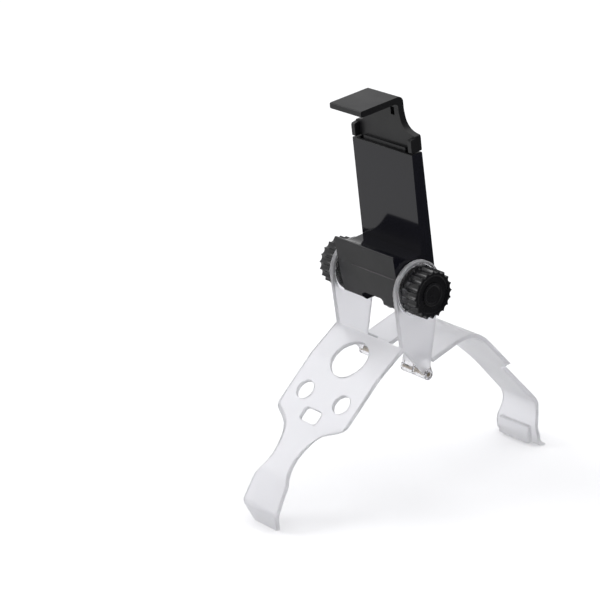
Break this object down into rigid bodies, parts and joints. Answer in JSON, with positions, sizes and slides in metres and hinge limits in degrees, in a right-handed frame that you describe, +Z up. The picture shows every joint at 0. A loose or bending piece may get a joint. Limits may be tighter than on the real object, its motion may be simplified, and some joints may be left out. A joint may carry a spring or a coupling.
{
  "type": "controller phone clip",
  "caption": "Folding clear plastic clip that wraps round a game controller, with a tilting spring clamp for a phone held between its ears by toothed thumb knobs.",
  "frame": {"origin": "centre of the part's outer box on the floor it stands on", "axes": "+X along the knobs' axis, -Y towards the front where the phone's screen faces, +Z up"},
  "size_m": [0.059, 0.1506, 0.1701],
  "materials": {
    "clear_plastic": "frosted clear polycarbonate, satin",
    "gloss_black": "glossy black moulded plastic",
    "satin_black": "satin black moulded plastic",
    "steel": "plain steel",
    "brass": "turned and knurled brass",
    "white_nylon": "natural nylon"
  },
  "bodies": {
    "bracket": {"front_bracket": "clear_plastic", "left_hinge_pin": "steel", "right_hinge_pin": "steel"},
    "arm": {"rear_arm": "clear_plastic"},
    "clamp": {"clamp_body": "gloss_black", "back_cover": "gloss_black", "cover_screw": "steel", "spring_anchor_pin": "steel", "left_jaw_spring": "steel", "right_jaw_spring": "steel", "left_insert_nut": "brass", "right_insert_nut": "brass", "left_washer": "white_nylon", "right_washer": "white_nylon"},
    "jaw": {"top_jaw": "satin_black", "jaw_spring_pin": "steel"},
    "left_knob": {"left_knob": "satin_black", "left_knob_cap": "satin_black", "left_stud": "steel"},
    "right_knob": {"right_knob": "satin_black", "right_knob_cap": "satin_black", "right_stud": "steel"}
  },
  "joints": [
    {"name": "clamp_tilt", "type": "hinge", "parent": "bracket", "child": "clamp", "pos_m": [0, -0.00936, 0.0925], "axis": [1, 0, 0], "range_deg": [-110, 112]},
    {"name": "jaw_slide", "type": "slide", "parent": "clamp", "child": "jaw", "axis": [0, -0.1392, 0.9903], "range_m": [0, 0.028], "stiffness_N_per_m": 120, "springref_m": -0.03, "deforming": ["left_jaw_spring", "right_jaw_spring"]},
    {"name": "bracket_hinge", "type": "hinge", "parent": "bracket", "child": "arm", "pos_m": [0, -0.00276, 0.0541], "axis": [1, 0, 0], "range_deg": [-102, 0]},
    {"name": "left_knob_turn", "type": "hinge", "parent": "clamp", "child": "left_knob", "pos_m": [-0.025, -0.00936, 0.0925], "axis": [1, 0, 0], "continuous": true},
    {"name": "right_knob_turn", "type": "hinge", "parent": "clamp", "child": "right_knob", "pos_m": [0.025, -0.00936, 0.0925], "axis": [1, 0, 0], "continuous": true}
  ]
}
